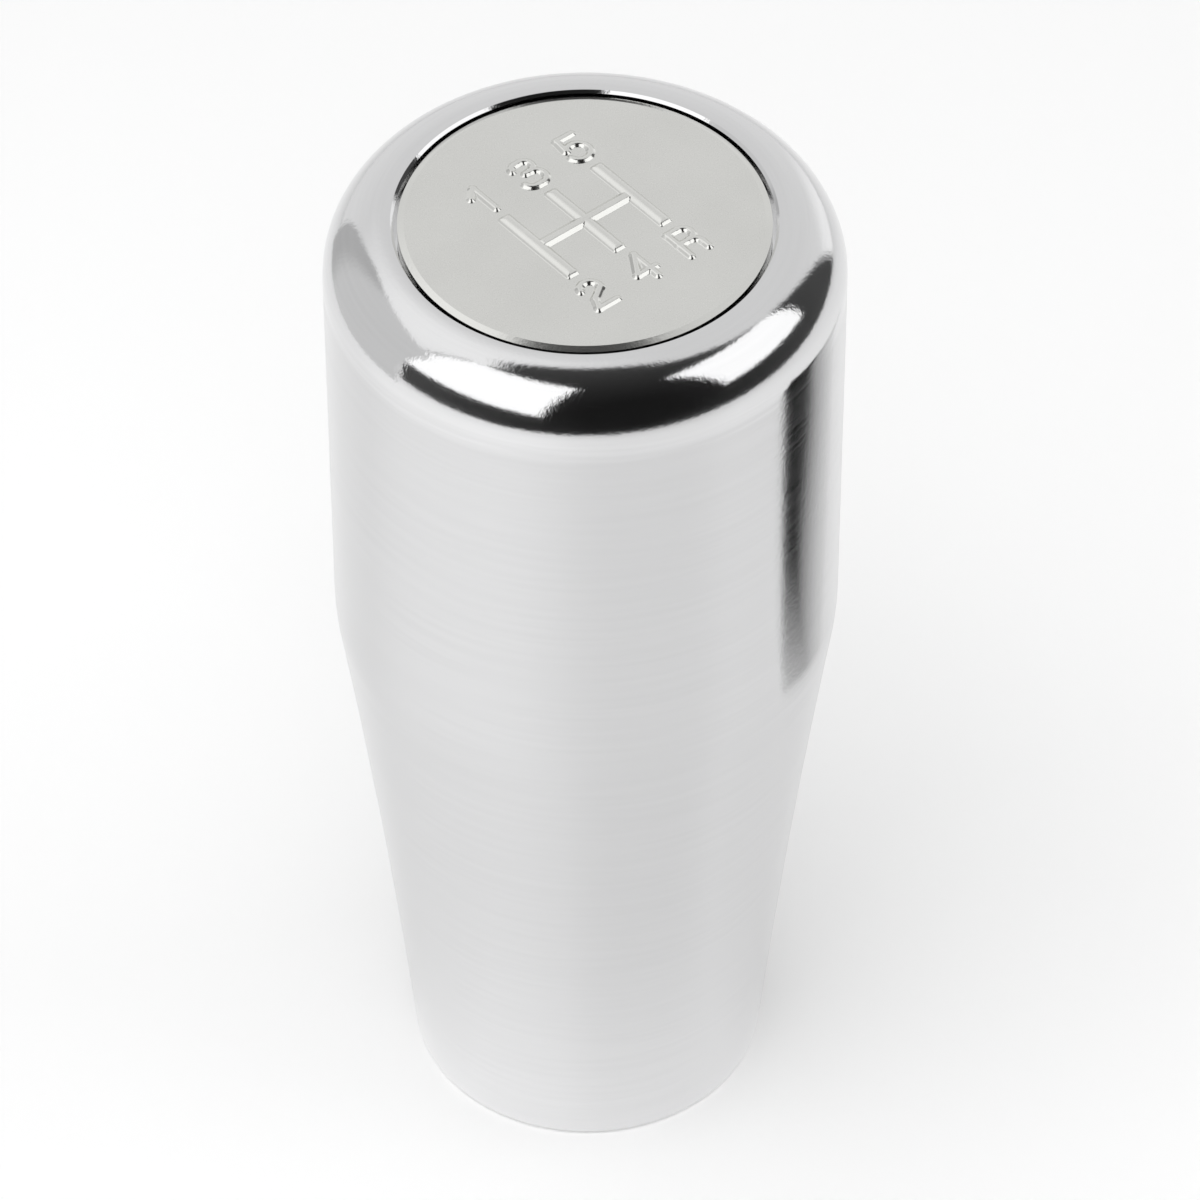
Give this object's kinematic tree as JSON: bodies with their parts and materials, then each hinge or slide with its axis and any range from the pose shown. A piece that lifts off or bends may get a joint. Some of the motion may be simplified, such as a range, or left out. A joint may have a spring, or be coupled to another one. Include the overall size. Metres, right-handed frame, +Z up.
{
  "type": "gear shift knob",
  "caption": "Tall turned aluminium gear shift knob, round shoulder and tapered foot, with a raised gate pattern plate on top and a threaded insert in the base.",
  "frame": {"origin": "centre of the base, on the surface the knob stands on", "axes": "+Z up the knob's axis towards the pattern plate, +Y the way first gear lies, +X towards the fifth gear's lane"},
  "size_m": [0.038, 0.038, 0.0856],
  "materials": {
    "body_aluminium": "fine circular satin finish on the sides, polished at the shoulder",
    "plate_aluminium": "fine matt face with polished raised edges",
    "adhesive_foam": "matt",
    "insert_brass": "fine turned"
  },
  "bodies": {
    "root": {"knob_body": "body_aluminium", "pattern_plate": "plate_aluminium", "plate_adhesive": "adhesive_foam", "thread_insert": "insert_brass"}
  },
  "joints": []
}
